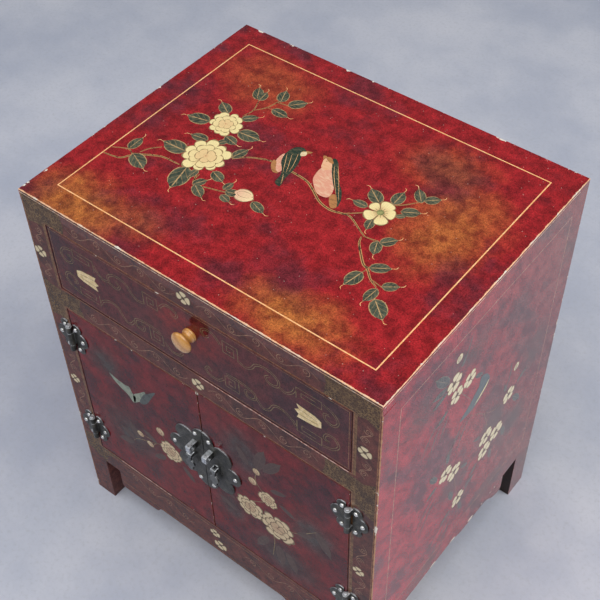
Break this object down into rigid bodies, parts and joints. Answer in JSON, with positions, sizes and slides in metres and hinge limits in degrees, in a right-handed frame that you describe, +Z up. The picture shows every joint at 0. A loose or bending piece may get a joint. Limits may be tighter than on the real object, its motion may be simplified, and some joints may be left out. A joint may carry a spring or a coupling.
{
  "type": "lacquered bedside cabinet",
  "caption": "Small East Asian red lacquer cabinet with a shallow drawer over a pair of inset doors, bracket feet, cast butterfly hinges and a lobed lock plate with drop pulls.",
  "frame": {"origin": "on the floor, at the middle of the footprint, knob included", "axes": "+X to the right seen from the front, +Y from the front to the back, +Z up"},
  "size_m": [0.46, 0.384, 0.553],
  "materials": {
    "top_lacquer": "deep red polished lacquer with painted birds and flowers",
    "side_lacquer": "red polished lacquer with painted birds and flowers",
    "door_lacquer": "dark red polished lacquer with painted flowers",
    "frame_lacquer": "dark purple-brown lacquer with gilt scrolls",
    "drawer_lacquer": "dark purple-brown lacquer with gilt scrolls",
    "inner_wood": "bare softwood and plywood, unfinished",
    "aged_bronze": "aged dark bronze with polished high spots",
    "knob_wood": "turned honey-coloured wood, waxed",
    "screw_steel": "plain steel"
  },
  "bodies": {
    "carcass": {"top_panel": "top_lacquer", "cupboard_floor": "inner_wood", "dust_board": "inner_wood", "back_panel": "inner_wood", "top_rail": "frame_lacquer", "middle_rail": "frame_lacquer", "front_apron": "frame_lacquer", "door_stop": "inner_wood", "glue_blocks": "inner_wood", "frame_hinge_leaves": "aged_bronze", "hinge_pins": "aged_bronze", "frame_hinge_studs": "aged_bronze", "left_side_panel": "side_lacquer", "left_stile": "frame_lacquer", "left_drawer_runner": "inner_wood", "left_drawer_guide": "inner_wood", "left_drawer_kicker": "inner_wood", "right_side_panel": "side_lacquer", "right_stile": "frame_lacquer", "right_drawer_runner": "inner_wood", "right_drawer_guide": "inner_wood", "right_drawer_kicker": "inner_wood"},
    "drawer": {"drawer_front": "drawer_lacquer", "drawer_left_side": "inner_wood", "drawer_right_side": "inner_wood", "drawer_back": "inner_wood", "drawer_bottom": "inner_wood", "knob": "knob_wood", "knob_screw": "screw_steel"},
    "left_door": {"left_door_panel": "door_lacquer", "left_door_leaves": "aged_bronze", "left_lock_plate": "aged_bronze", "left_lock_staple": "aged_bronze", "left_pull_post": "aged_bronze", "left_door_studs": "aged_bronze"},
    "left_pull": {"left_drop_pull": "aged_bronze"},
    "right_door": {"right_door_panel": "door_lacquer", "right_door_leaves": "aged_bronze", "right_lock_plate": "aged_bronze", "right_lock_staple": "aged_bronze", "right_pull_post": "aged_bronze", "right_door_studs": "aged_bronze"},
    "right_pull": {"right_drop_pull": "aged_bronze"}
  },
  "joints": [
    {"name": "drawer_slide", "type": "slide", "parent": "carcass", "child": "drawer", "axis": [0, -1, 0], "range_m": [0, 0.24]},
    {"name": "left_door_hinge", "type": "hinge", "parent": "carcass", "child": "left_door", "pos_m": [-0.198, -0.1782, 0.266], "axis": [0, 0, -1], "range_deg": [0, 170]},
    {"name": "left_pull_swing", "type": "hinge", "parent": "left_door", "child": "left_pull", "pos_m": [-0.021, -0.1814, 0.267], "axis": [-1, 0, 0], "range_deg": [0, 120]},
    {"name": "right_door_hinge", "type": "hinge", "parent": "carcass", "child": "right_door", "pos_m": [0.198, -0.1782, 0.266], "axis": [0, 0, 1], "range_deg": [0, 170]},
    {"name": "right_pull_swing", "type": "hinge", "parent": "right_door", "child": "right_pull", "pos_m": [0.015, -0.1814, 0.267], "axis": [-1, 0, 0], "range_deg": [0, 120]}
  ]
}
